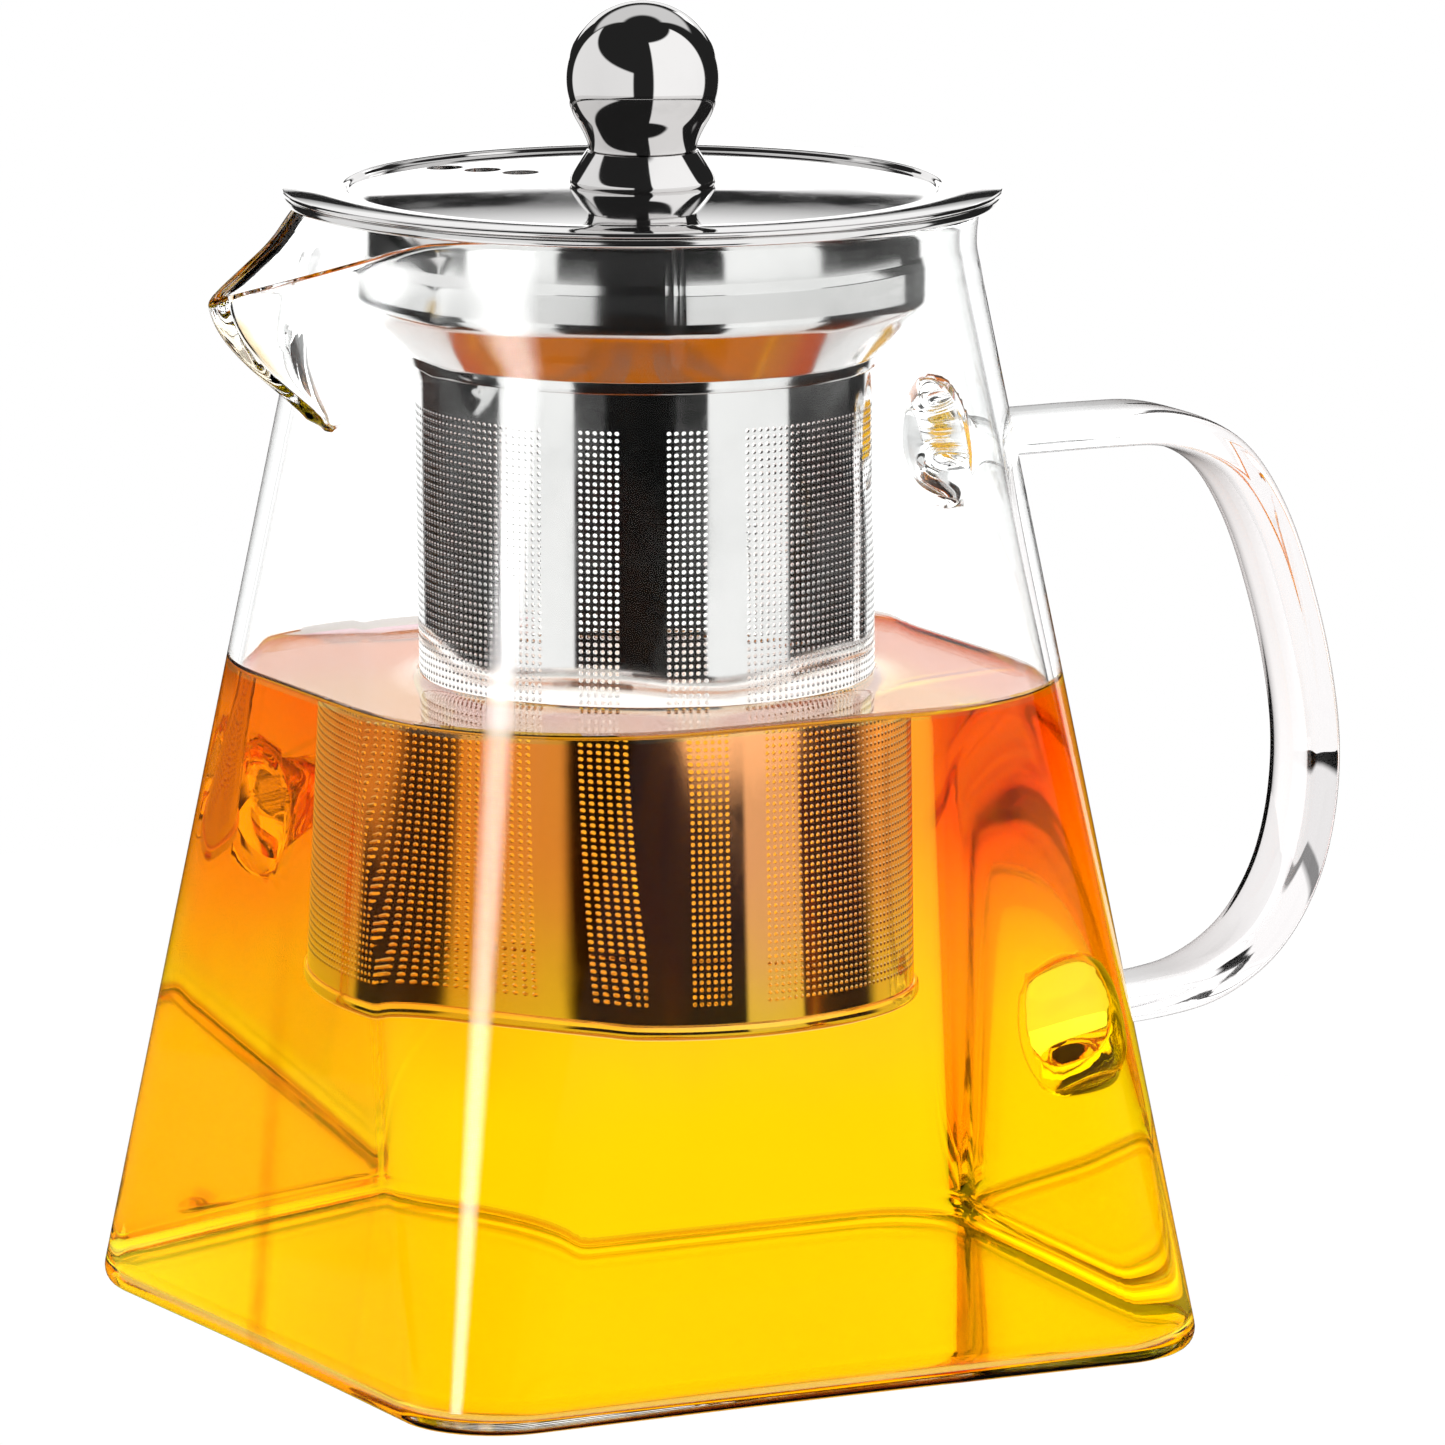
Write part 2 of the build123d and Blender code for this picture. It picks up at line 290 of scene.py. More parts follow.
def spout_radius(turn, z, wall=0.0):
    """Outside of the spout's wedge in each direction, with its keel rounded, shrunk by a wall."""
    off = np.abs(((turn - pi) + pi) % (2 * pi) - pi)
    reach = spout_reach(z) - wall / sin(SPOUT_HALF_ANGLE) * 0.92
    soft = KEEL_ROUNDING / SPOUT_TIP_X
    lean = np.sqrt(np.sin(off) ** 2 + soft**2) - soft
    slope = tan(SPOUT_HALF_ANGLE)
    radius = reach * slope / (lean + np.cos(off) * slope)
    return np.where(off < 1.2, radius, 0)


def rim_height(turn):
    """Height of the rim: level round the neck, falling along the spout to its tip."""
    height = np.full_like(turn, RIM_Z)
    fall = (RIM_Z - SPOUT_TIP_Z) / (SPOUT_TIP_X - SPOUT_RIM_X)
    for _ in range(6):
        out = np.maximum(spout_radius(turn, height), LIP_R) * -np.cos(turn)
        height = RIM_Z - fall * blend_max(out - SPOUT_RIM_X, 0 * out, 5.0)
    return np.minimum(height, RIM_Z)


def wall_row(t, inset):
    """One row of the wall above the spout's lowest point; t runs from 0 there to 1 at the rim."""
    rim = rim_height(COLUMNS)
    z = SPOUT_ZONE_Z + (rim - WALL / 2 - SPOUT_ZONE_Z) * t
    level = SPOUT_ZONE_Z + (RIM_Z - WALL / 2 - SPOUT_ZONE_Z) * t
    if level < SHOULDER_Z:
        body = body_radius(COLUMNS, level, inset)
    else:
        body = 0 * COLUMNS + neck_radius(level) - inset
    soften = np.clip((level - SPOUT_ROOT_Z) / 10, 0, 1)
    radius = blend_max(body, spout_radius(COLUMNS, z, inset), 1.6 + 5.5 * soften)
    return radius, z


def place_row(radius, z):
    return np.stack([radius * np.cos(COLUMNS), radius * np.sin(COLUMNS), z + 0 * COLUMNS], -1)


def lower_rows(inset, floor, rounding):
    """Rows from the middle of a floor out to its rounded edge and up the wall to the spout zone."""
    rows = []
    edge = body_radius(COLUMNS, floor + rounding, inset)
    inner = edge - rounding
    for share in (0.03, 0.1, 0.2, 0.35, 0.5, 0.62, 0.7, 0.76, 0.82, 0.88, 0.94):
        rows.append((inner * share, floor))
    for turn in np.linspace(0, pi / 2, 9):
        height = floor + rounding * (1 - cos(turn))
        wall = body_radius(COLUMNS, height, inset)
        rows.append((wall - rounding * (1 - sin(turn)), height))
    for height in np.linspace(floor + rounding, SPOUT_ZONE_Z, 44)[1:-1]:
        rows.append((body_radius(COLUMNS, height, inset), height))
    return [place_row(radius, z) for radius, z in rows]


def make_glass_body():
    outside = lower_rows(0, 0, FOOT_ROUNDING)
    inside = lower_rows(WALL, FLOOR, FLOOR_ROUNDING)
    levels = np.linspace(0, 1, 42)
    outer = [wall_row(t, 0) for t in levels]
    inner = [wall_row(t, WALL) for t in levels]
    rows = outside + [place_row(*row) for row in outer]
    (r_out, z_top), (r_in, _) = outer[-1], inner[-1]
    for turn in np.linspace(0, pi, 11)[1:-1]:
        middle, half = (r_out + r_in) / 2, (r_out - r_in) / 2
        rows.append(place_row(middle + half * cos(turn), z_top + WALL / 2 * sin(turn)))
    rows += [place_row(*row) for row in inner[::-1]] + inside[::-1]
    return skin("glass_pot", rows, sharp=0)


# ------------------------------------------------------------------ glass handle
STRAP_HALF = (5.65, 2.3)  # half its width and half its thickness
PAD_HALF = (8.4, 8.2)
PAD_DEPTH = 3.5
PAD_FLARE = 8.0
CAD_PAD_R = 8.5
HANDLE_TOP_Z = high("glass_handle").z - CAD_PAD_R
HANDLE_LOW_Z = low("glass_handle").z + CAD_PAD_R


def smooth_curve(points, steps=16):
    """A curve through points, by Catmull-Rom."""
    points = np.array(points, float)
    ends = np.vstack([2 * points[0] - points[1], points, 2 * points[-1] - points[-2]])
    curve = []
    for a, b, c, d in zip(ends, ends[1:], ends[2:], ends[3:]):
        for t in np.linspace(0, 1, steps, endpoint=False):
            square, cube = 2 * a - 5 * b + 4 * c - d, 3 * b - a - 3 * c + d
            curve.append(0.5 * (2 * b + (c - a) * t + square * t**2 + cube * t**3))
    curve.append(points[-1])
    return np.array(curve)


def make_handle(shrink=0.0):
    """The strap, swept along its bend, with a round pad at each end that sinks into the wall."""
    reach = high("glass_handle").x - STRAP_HALF[1]
    wall_top = float(body_radius(np.array([0.0]), HANDLE_TOP_Z)[0]) - WALL / 2
    wall_low = float(body_radius(np.array([0.0]), HANDLE_LOW_Z)[0]) - WALL / 2
    centre = smooth_curve(
        [
            (wall_top - PAD_DEPTH, HANDLE_TOP_Z),
            (50, HANDLE_TOP_Z),
            (59, HANDLE_TOP_Z),
            (67, HANDLE_TOP_Z - 0.5),
            (75, 95.5),
            (80.4, 87.6),
            (84.2, 77),
            (86.4, 67.8),
            (reach, 59.6),
            (86.6, 51.2),
            (84.2, 43.6),
            (79.6, 37.2),
            (73, 33.2),
            (66, HANDLE_LOW_Z + 0.4),
            (58, HANDLE_LOW_Z),
            (wall_low - PAD_DEPTH, HANDLE_LOW_Z),
        ]
    )
    for _ in range(12):
        centre[1:-1] = (centre[:-2] + 2 * centre[1:-1] + centre[2:]) / 4
    length = np.concatenate([[0], np.cumsum(np.linalg.norm(np.diff(centre, axis=0), axis=1))])
    near_ends = np.concatenate([np.linspace(0.06, 12, 34), np.linspace(12, length[-1] - 12, 110)[1:-1]])
    stations = np.concatenate([near_ends, length[-1] - np.linspace(0.06, 12, 34)[::-1]])
    stations = shrink + stations * (1 - 2 * shrink / length[-1])
    x = np.interp(stations, length, centre[:, 0])
    z = np.interp(stations, length, centre[:, 1])
    along = np.stack([np.gradient(x), np.gradient(z)], 1)
    along /= np.linalg.norm(along, axis=1)[:, None]
    around = np.linspace(0, 2 * pi, 56, endpoint=False)
    rows = []
    for s, px, pz, (tx, tz) in zip(stations, x, z, along):
        depth = min(s, length[-1] - s) - PAD_DEPTH - shrink
        dome = sqrt(max(1 - (min(depth, 0) / PAD_DEPTH) ** 2, 0.0004))
        flare = max(1 - max(depth, 0) / PAD_FLARE, 0) ** 2.6
        half_width = (STRAP_HALF[0] + (PAD_HALF[0] - STRAP_HALF[0]) * flare) * dome - shrink
        half_depth = (STRAP_HALF[1] + (PAD_HALF[1] - STRAP_HALF[1]) * flare) * dome - shrink
        half_width, half_depth = max(half_width, 0.05), max(half_depth, 0.05)
        power = 2 / (4.2 - 2.2 * flare**0.5)
        across = np.sign(np.cos(around)) * np.abs(np.cos(around)) ** power * half_width
        up = np.sign(np.sin(around)) * np.abs(np.sin(around)) ** power * half_depth
        rows.append(np.stack([px - tz * up, -across, pz + tx * up], -1))
    return skin("handle", rows, sharp=0)


# ------------------------------------------------------------------ tea
TEA_OVERLAP = 0.25  # how far the tea reaches into the glass, so that light crosses one boundary
MENISCUS = 1.3


def make_tea():
    """A closed body of liquid with a meniscus at the glass and round the infuser."""
    wet = WALL - TEA_OVERLAP
    rows = lower_rows(wet, FLOOR - TEA_OVERLAP, FLOOR_ROUNDING)
    rows = [row for row in rows if row[0, 2] < TEA_Z]
    rows.append(place_row(body_radius(COLUMNS, TEA_Z + MENISCUS, wet), TEA_Z + MENISCUS))
    wall = body_radius(COLUMNS, TEA_Z, wet)
    ring = TUBE_R - TUBE_SHEET / 2
    near_wall = (0.99, 0.975, 0.955, 0.93, 0.9, 0.85, 0.78, 0.66)
    near_tube = (0.5, 0.34, 0.22, 0.14, 0.09, 0.05, 0.02, 0)
    for share in near_wall + near_tube:
        radius = ring + (wall - ring) * share
        climb = MENISCUS * np.exp(-(wall - radius) / 0.8) + 0.8 * np.exp(-(radius - ring) / 0.7)
        rows.append(place_row(radius, TEA_Z + climb))
    for share in (0.97, 0.93, 0.88, 0.8, 0.6, 0.4, 0.2, 0.05):
        rows.append(place_row(ring * share + 0 * COLUMNS, TEA_Z + 0.8 * np.exp(-ring * (1 - share) / 0.7)))
    return skin("tea_liquid", rows, sharp=50)


# ------------------------------------------------------------------ perforated sheet
HOLE_PITCH = 0.83
HOLE_SHARE = 0.32  # radius of a hole over the pitch


def perforated(name, u_edges, v_edges, has_hole, place):
    """A closed sheet on a grid of cells, with a round hole through each chosen cell.

    place(u, v, side) gives points on the front (side 0) or the back (side 1).
    """
    nu, nv = len(u_edges) - 1, len(v_edges) - 1
    u = np.interp(np.arange(2 * nu + 1) / 2, np.arange(nu + 1), u_edges)
    v = np.interp(np.arange(2 * nv + 1) / 2, np.arange(nv + 1), v_edges)
    uu, vv = np.meshgrid(u, v, indexing="ij")
    lattice = np.arange(uu.size).reshape(uu.shape)
    ci, cj = np.nonzero(has_hole)
    turn = radians(225) + np.arange(8) * pi / 4
    du, dv = np.diff(u_edges)[ci, None], np.diff(v_edges)[cj, None]
    hole_u = (u[2 * ci + 1])[:, None] + HOLE_SHARE * du * np.cos(turn)
    hole_v = (v[2 * cj + 1])[:, None] + HOLE_SHARE * dv * np.sin(turn)
    count = uu.size + hole_u.size
    all_u = np.r_[uu.ravel(), hole_u.ravel()]
    all_v = np.r_[vv.ravel(), hole_v.ravel()]
    points = np.vstack([place(all_u, all_v, side) for side in (0, 1)])
    hole = uu.size + np.arange(hole_u.size).reshape(-1, 8)
    around = [(0, 0), (1, 0), (2, 0), (2, 1), (2, 2), (1, 2), (0, 2), (0, 1)]
    ring = np.stack([lattice[2 * ci + a, 2 * cj + b] for a, b in around], 1)
    nxt = np.roll(np.arange(8), -1)
    front = [np.stack([ring, ring[:, nxt], hole[:, nxt], hole], -1).reshape(-1, 4)]
    plain_i, plain_j = np.nonzero(~has_hole)
    for a, b in ((0, 0), (1, 0), (0, 1), (1, 1)):
        i, j = 2 * plain_i + a, 2 * plain_j + b
        corners = [lattice[i, j], lattice[i + 1, j], lattice[i + 1, j + 1], lattice[i, j + 1]]
        front.append(np.stack(corners, -1))
    front = np.vstack(front)
    back = front[:, ::-1] + count
    walls = np.stack([hole, hole[:, nxt], hole[:, nxt] + count, hole + count], -1).reshape(-1, 4)
    edges = []
    closed = abs(abs(u_edges[-1] - u_edges[0]) - 2 * pi) < 1e-6
    for line in (lattice[::-1, 0], lattice[:, -1]) + (() if closed else (lattice[0], lattice[-1, ::-1])):
        edges.append(np.stack([line[:-1], line[1:], line[1:] + count, line[:-1] + count], -1))
    faces = np.vstack([front, back, walls] + edges)
    if closed:
        swap = np.arange(2 * count)
        for shift in (0, count):
            swap[lattice[-1] + shift] = lattice[0] + shift
        faces = swap[faces]
    used = np.unique(faces)
    renumber = np.zeros(2 * count, int)
    renumber[used] = np.arange(len(used))
    return build_mesh(name, points[used], renumber[faces].tolist())


CENTRE_PLAIN = 6  # plain columns in the middle of the front, then holes, then plain again
PANEL_HOLES = 6
SIDE_PLAIN = 5
PERFORATED_LOW = TUBE_LOW + 3.2
PERFORATED_HIGH = COLLAR_LOW - 4.3


def tube_place(u, v, side):
    radius = TUBE_R - side * TUBE_SHEET
    return np.stack([radius * np.cos(u), radius * np.sin(u), v], -1)


def make_screen():
    """The tube in six panels, each a closed sheet, so that none is too heavy."""
    columns = 2 * round(pi * TUBE_R / HOLE_PITCH)
    step = 2 * pi / columns
    group = CENTRE_PLAIN + 2 * PANEL_HOLES + 2 * SIDE_PLAIN
    flank = (columns - 2 * group) // 2
    rows = round((PERFORATED_HIGH - PERFORATED_LOW) / HOLE_PITCH)
    heights = np.concatenate(
        [
            np.linspace(TUBE_LOW, PERFORATED_LOW, 3)[:-1],
            np.linspace(PERFORATED_LOW, PERFORATED_HIGH, rows + 1),
            np.linspace(PERFORATED_HIGH, TUBE_HIGH, 5)[1:],
        ]
    )
    in_band = np.zeros(len(heights) - 1, bool)
    in_band[2 : 2 + rows] = True
    pattern = [False] * SIDE_PLAIN + [True] * PANEL_HOLES + [False] * CENTRE_PLAIN
    pattern += [True] * PANEL_HOLES + [False] * SIDE_PLAIN
    split = flank // 2
    parts = [pattern, [True] * split, [True] * (flank - split)] * 2
    start = CAMERA_TURN - group / 2 * step
    pieces = []
    for number, part in enumerate(parts):
        edges = start + np.arange(len(part) + 1) * step
        start = edges[-1]
        holes = np.outer(np.array(part), in_band)
        pieces.append(perforated(f"infuser_screen_{number + 1}", edges, heights, holes, tube_place))
    return pieces


BASE_HOLES_R = 22.5
HUB_R = 4
RING_SHRINK = 0.66  # inner radius of a ring of holes over its outer radius


def make_base():
    """The bottom disc: rings of holes inside a rolled lip."""
    z = low("infuser_base").z
    lip_r = high("infuser_base").x
    lip_top = high("infuser_base").z
    outline = sheet(
        rounded_path([(22.4, z + 0.25), (lip_r - 0.25, z + 0.25), (lip_r - 0.25, lip_top)], [0.9]), 0.5
    )
    pieces = [lathe("infuser_base_lip", outline, 256)]

    def place(u, v, side):
        return np.stack([v * np.cos(u), v * np.sin(u), 0 * u + z + 0.05 + side * 0.4], -1)

    radius = BASE_HOLES_R
    ring = 0
    while radius > HUB_R:
        ring += 1
        inner = radius * RING_SHRINK
        columns = int(2 * pi * (radius + inner) / 2 / HOLE_PITCH)
        rows = max(round((radius - inner) / HOLE_PITCH), 1)
        turns = np.linspace(0, 2 * pi, columns + 1)
        radii = np.linspace(radius, inner, rows + 1)
        pieces.append(perforated(f"infuser_base_{ring}", turns, radii, np.ones((columns, rows), bool), place))
        radius = inner
    pieces.append(lathe("hub", [(0, z + 0.05), (radius, z + 0.05), (radius, z + 0.45), (0, z + 0.45)], 64))
    return join("infuser_base_disc", pieces)


def join(name, pieces):
    """Makes one object of several."""
    with bpy.context.temp_override(
        active_object=pieces[0], selected_objects=pieces, selected_editable_objects=pieces
    ):
        bpy.ops.object.join()
    pieces[0].name = name
    return pieces[0]


# ------------------------------------------------------------------ steel parts
def make_collar():
    """The infuser's flange with a rolled hem, its cup and the shoulder down to the tube."""
    half = 0.25
    path = rounded_path(
        [
            (FLANGE_R - 1.1, FLANGE_TOP - half),
            (FLANGE_R - half, FLANGE_TOP - half),
            (FLANGE_R - half, FLANGE_TOP - 1.1 + half),
            (32.05, FLANGE_TOP - 1.1 + half),
            (32.05, 124.4),
            (32.45, 123.2),
            (32.68, 118.9),
            (TUBE_R + 0.3, 112.6),
            (TUBE_R + 0.3, COLLAR_LOW),
        ],
        [0.3, 0.3, 1.2, 0.6, 1.2, 2.6, 0.5],
    )
    return lathe("infuser_rim", sheet(path, 2 * half), 360)


LID_HALF_SHEET = 0.3
DISH_R = 32.4
VENTS_AT = (17.5, 23.0, 28.5)  # distances from the axis
VENT_R = 2.1
VENT_TURN = radians(116)


def make_lid():
    """The lid's flange, the step into its dish, and three steam vents."""
    half = LID_HALF_SHEET
    mid = LID_TOP - half
    dish = [(r, mid + 0.15 - 0.7 * (r / 33.3) ** 2) for r in np.linspace(DISH_R, 0, 40)]
    edge = rounded_path(
        [(LID_R - half, mid), (33.9, mid), (33.45, mid - 0.54), (30, dish[3][1])], [0.5, 0.5]
    )
    top = np.array([p for p in edge if p[0] > 32.6] + dish)
    above = top + [0, half]
    below = top - [0, half]
    turn = np.linspace(pi / 2, -pi / 2, 9)[1:-1]
    rim = np.stack([LID_R - half + half * np.cos(turn), mid + half * np.sin(turn)], 1)
    lid = lathe("lid_cover", np.vstack([above[::-1], rim, below]), 360, sharp=25)
    for radius in VENTS_AT:
        drill = lathe("drill", [(0, 125), (VENT_R, 125), (VENT_R, 135), (0, 135)], 48)
        drill.location = (radius * cos(VENT_TURN) * MM, radius * sin(VENT_TURN) * MM, 0)
        boolean(lid, drill, "DIFFERENCE")
    lid.data.set_sharp_from_angle(angle=radians(30))
    return lid


KNOB_FOOT_R = 8.3
THROAT_R = 6.2
THROAT_ANGLE = radians(-32)  # where the throat meets the ball


def make_knob():
    """The knob's flared foot and its ball, which meet at a fine seam."""
    dish_z = low("knob_foot").z
    ball_r = high("knob_ball").x
    centre = KNOB_TOP - ball_r
    rise = SEAM_Z - 0.1 - dish_z
    bell = [(KNOB_FOOT_R - 1.9 * t**1.2, dish_z + 0.6 + (rise - 0.6) * t) for t in np.linspace(0, 1, 24)]
    foot = [(0, dish_z), (7.9, dish_z), (8.18, dish_z + 0.12), (KNOB_FOOT_R, dish_z + 0.35)] + bell
    foot += [(6.25, SEAM_Z - 0.05), (5.6, SEAM_Z - 0.04), (0, SEAM_Z - 0.04)]
    r_join, z_join = ball_r * cos(THROAT_ANGLE), centre + ball_r * sin(THROAT_ANGLE)
    throat = []
    a, b = np.array([THROAT_R, SEAM_Z + 0.15]), np.array([THROAT_R, SEAM_Z + 1.0])
    d = np.array([r_join, z_join])
    c = d - np.array([-sin(THROAT_ANGLE), cos(THROAT_ANGLE)]) * 1.5
    for t in np.linspace(0, 1, 16)[:-1]:
        throat.append((1 - t) ** 3 * a + 3 * (1 - t) ** 2 * t * b + 3 * (1 - t) * t**2 * c + t**3 * d)
    arc = [(ball_r * cos(t), centre + ball_r * sin(t)) for t in np.linspace(THROAT_ANGLE, pi / 2, 60)]
    ball = [(0, SEAM_Z), (5.9, SEAM_Z), (6.1, SEAM_Z + 0.05)] + [tuple(p) for p in throat] + arc
    return lathe("knob_flare", foot, 192, sharp=30), lathe("knob_sphere", ball, 192, sharp=30)


# ------------------------------------------------------------------ material tools
class Graph:
    """A short way to build a node tree."""

    def __init__(self, tree):
        self.tree = tree
        tree.nodes.clear()

    def add(self, kind, *inputs, out=0, **settings):
        """Adds a node. Inputs are values, other nodes' sockets or (name, value) pairs."""
        node = self.tree.nodes.new("ShaderNode" + kind)
        for key, value in settings.items():
            setattr(node, key, value)
        for index, item in enumerate(inputs):
            key, value = item if isinstance(item, tuple) and isinstance(item[0], str) else (index, item)
            if value is None:
                continue
            if isinstance(value, bpy.types.NodeSocket):
                self.tree.links.new(value, node.inputs[key])
            else:
                node.inputs[key].default_value = value
        return node.outputs[out] if node.outputs else None

    def math(self, operation, *inputs):
        return self.add("Math", *inputs, operation=operation)

    def vector(self, operation, *inputs, out=0):
        return self.add("VectorMath", *inputs, operation=operation, out=out)

    def step(self, value, low, high):
        """0 below low, 1 above high, smooth between."""
        return self.add("MapRange", value, low, high, 0.0, 1.0, interpolation_type="SMOOTHSTEP")

    def outputs(self, kind, source=None):
        """Adds a node and returns all its outputs."""
        node = self.tree.nodes.new("ShaderNode" + kind)
        if source is not None:
            self.tree.links.new(source, node.inputs[0])
        return node.outputs

    def grey(self, level):
        """The same level in all three channels."""
        return self.add("CombineColor", level, level, level)

    def turn_from_camera(self, direction):
        """Degrees round the axis from the camera's side to a direction, positive to the right."""
        spaces = {"vector_type": "VECTOR", "convert_from": "CAMERA", "convert_to": "WORLD"}
        forward = self.add("VectorTransform", (0.0, 0.0, 1.0), **spaces)
        forward = self.vector("NORMALIZE", self.vector("MULTIPLY", forward, (1, 1, 0)))
        right = self.vector("CROSS_PRODUCT", forward, (0, 0, 1))
        nearer = self.math("MULTIPLY", self.vector("DOT_PRODUCT", direction, forward, out=1), -1.0)
        aside = self.vector("DOT_PRODUCT", direction, right, out=1)
        return self.math("MULTIPLY", self.math("ARCTAN2", aside, nearer), 180 / pi)


def new_material(name):
    material = bpy.data.materials.new(name)
    material.use_nodes = True
    return material, Graph(material.node_tree)


def rgb(r, g, b):
    return (r, g, b, 1.0)


def colour_mix(graph, factor, a, b):
    node = graph.tree.nodes.new("ShaderNodeMix")
    node.data_type = "RGBA"
    for index, value in ((0, factor), (6, a), (7, b)):
        if isinstance(value, bpy.types.NodeSocket):
            graph.tree.links.new(value, node.inputs[index])
        else:
            node.inputs[index].default_value = value
    return node.outputs[2]


# Painted tint and shade: the steel's colour below the tea, standing in for light tinted by the tea.
SUBMERGED_TINT_SHADE = (0.66, 0.54, 0.52)
PAINTED_BACKLIGHT_GLOW = 0.5  # painted glow: emission on the inside of the tube, standing in for the backlight that shows through the holes


def steel(name, colour, roughness, grain=0.0, stretch=(1, 1, 1), painted_tea_tint_and_glow=False):
    """Stainless steel: faint grain, fine scratches and water marks. Below the tea level it gets a painted
    copper tint and shade, standing in for light tinted by the tea, and the inside of the tube gets a painted
    glow.
    """
    material, g = new_material(name)
    place = g.add("TexCoord", out=3)
    marks = g.add("TexNoise", ("Vector", place), ("Scale", 60.0), ("Detail", 4.0))
    spots = g.add("TexVoronoi", ("Vector", place), ("Scale", 160.0))
    ring = g.step(g.math("ABSOLUTE", g.math("SUBTRACT", spots, 0.3)), 0.05, 0.0)
    stretched = g.vector("MULTIPLY", place, stretch)
    scratch = g.add("TexNoise", ("Vector", stretched), ("Scale", 900.0), ("Detail", 6.0), ("Roughness", 0.6))
    wear = g.step(marks, 0.42, 0.68)
    tone = colour_mix(g, wear, rgb(*colour), rgb(*(c * 0.93 for c in colour)))
    if painted_tea_tint_and_glow:
        # Painted copper tint and shade below the tea level, set by world height, so it stays at the tea as
        # the infuser moves.
        height = g.add("SeparateXYZ", g.add("NewGeometry", out=0), out=2)
        wet = g.step(height, (TEA_Z + 0.25) * MM, (TEA_Z - 0.25) * MM)
        tone = colour_mix(g, wet, tone, rgb(*SUBMERGED_TINT_SHADE))
    rough = g.math("ADD", roughness, g.math("MULTIPLY", wear, 0.05))
    rough = g.math("ADD", rough, g.math("MULTIPLY", scratch, grain))
    rough = g.math("ADD", rough, g.math("MULTIPLY", ring, 0.015))
    bump = g.add("Bump", ("Strength", 2 * grain), ("Distance", 0.00001), ("Height", scratch))
    glow = 0.0
    # Painted glow on the inward faces near the tea level, standing in for the backlight through the holes.
    if painted_tea_tint_and_glow:
        inward = g.vector("DOT_PRODUCT", g.add("NewGeometry", out=3), g.vector("NORMALIZE", place), out=1)
        level_ray = g.add("SeparateXYZ", g.add("NewGeometry", out=4), out=2)
        near_level = g.step(g.math("ABSOLUTE", level_ray), 0.5, 0.3)
        glow = g.math("MULTIPLY", g.math("MULTIPLY", g.step(inward, -0.1, -0.3), near_level), PAINTED_BACKLIGHT_GLOW)
    shader = g.add(
        "BsdfPrincipled",
        ("Base Color", tone),
        ("Metallic", 1.0),
        ("Roughness", rough),
        ("Emission Color", rgb(1, 1, 1)),
        ("Emission Strength", glow),
        ("Normal", bump),
    )
    g.add("OutputMaterial", shader)
    return material


GLASS_IOR = 1.47
EDGE_ON_SHADE = (0.3, 0.27, 0.26)  # painted shade where glass is seen along its surface, standing in for the dark surroundings seen by refraction
# The handle's tint: greyer on its faces, and dark at its edges with painted shade.
STRAP_FACE = (0.83, 0.81, 0.81)
STRAP_EDGE_SHADE = (0.33, 0.28, 0.26)
AMBER_DARK = (0.7, 0.5, 0.25)
AMBER_LIGHT = (0.97, 0.85, 0.62)


def clear_glass(name):
    """Hand-blown glass: slow waves, faint smears, dark outlines of painted shade, a handle with painted shade
    at its edges and an amber keel on the spout.
    """
    material, g = new_material(name)
    place = g.add("TexCoord", out=3)
    waves = g.add("TexNoise", ("Vector", place), ("Scale", 22.0), ("Detail", 1.0))
    stretched = g.vector("MULTIPLY", place, (1, 1, 0.25))
    smears = g.add("TexNoise", ("Vector", stretched), ("Scale", 90.0), ("Detail", 5.0))
    tint = colour_mix(g, smears, rgb(0.995, 1.0, 0.998), rgb(0.985, 0.995, 0.99))
    x, y, z = g.outputs("SeparateXYZ", place)
    keel = g.math("MULTIPLY", g.step(x, -0.044, -0.048), g.step(g.math("ABSOLUTE", y), 0.0025, 0.001))
    keel = g.math("MULTIPLY", keel, g.step(z, 0.1205, 0.1185))
    streaks = g.add("TexNoise", ("Vector", place), ("Scale", 700.0), ("Detail", 3.0))
    amber = colour_mix(g, streaks, rgb(*AMBER_DARK), rgb(*AMBER_LIGHT))
    tint = colour_mix(g, keel, tint, amber)
    # Painted shade: a dark tint where the surface is seen edge-on, standing in for the dark surroundings seen
    # by refraction.
    edge_on = g.add("LayerWeight", 0.5, out=1)
    outline = g.step(edge_on, 0.8, 0.97)
    tint = colour_mix(g, g.math("MULTIPLY", outline, 0.75), tint, rgb(*EDGE_ON_SHADE))
    # The handle: greyer faces, and painted shade at its edges.
    strap = colour_mix(g, g.step(edge_on, 0.35, 0.95), rgb(*STRAP_FACE), rgb(*STRAP_EDGE_SHADE))
    tint = colour_mix(g, g.step(x, 0.052, 0.078), tint, strap)
    bump = g.add("Bump", ("Strength", 0.12), ("Distance", 0.0004), ("Height", waves))
    shader = g.add(
        "BsdfPrincipled",
        ("Base Color", tint),
        ("Roughness", 0.0),
        ("IOR", GLASS_IOR),
        ("Transmission Weight", 1.0),
        ("Specular Tint", rgb(0.3, 0.3, 0.3)),
        ("Normal", bump),
    )
    g.add("OutputMaterial", shader)
    return material


TEA_IOR = 1.333
TEA_DENSITY = 40.0
TEA_COLOUR = (0.993, 0.88, 0.0)
TEA_LOW = (1.0, 0.98, 0.06)
TEA_HIGH = (1.0, 0.62, 0.8)
TEA_SIDE = (0.93, 0.38, 0.15)  # high up, on the faces towards the handle and the spout
TEA_TOP = (0.74, 0.69, 0.67)
TEA_FROM_ABOVE = (0.6, 0.22, 0.08)
GLEAM = (0.95, 0.93, 0.9)  # of the surface where it mirrors the tube


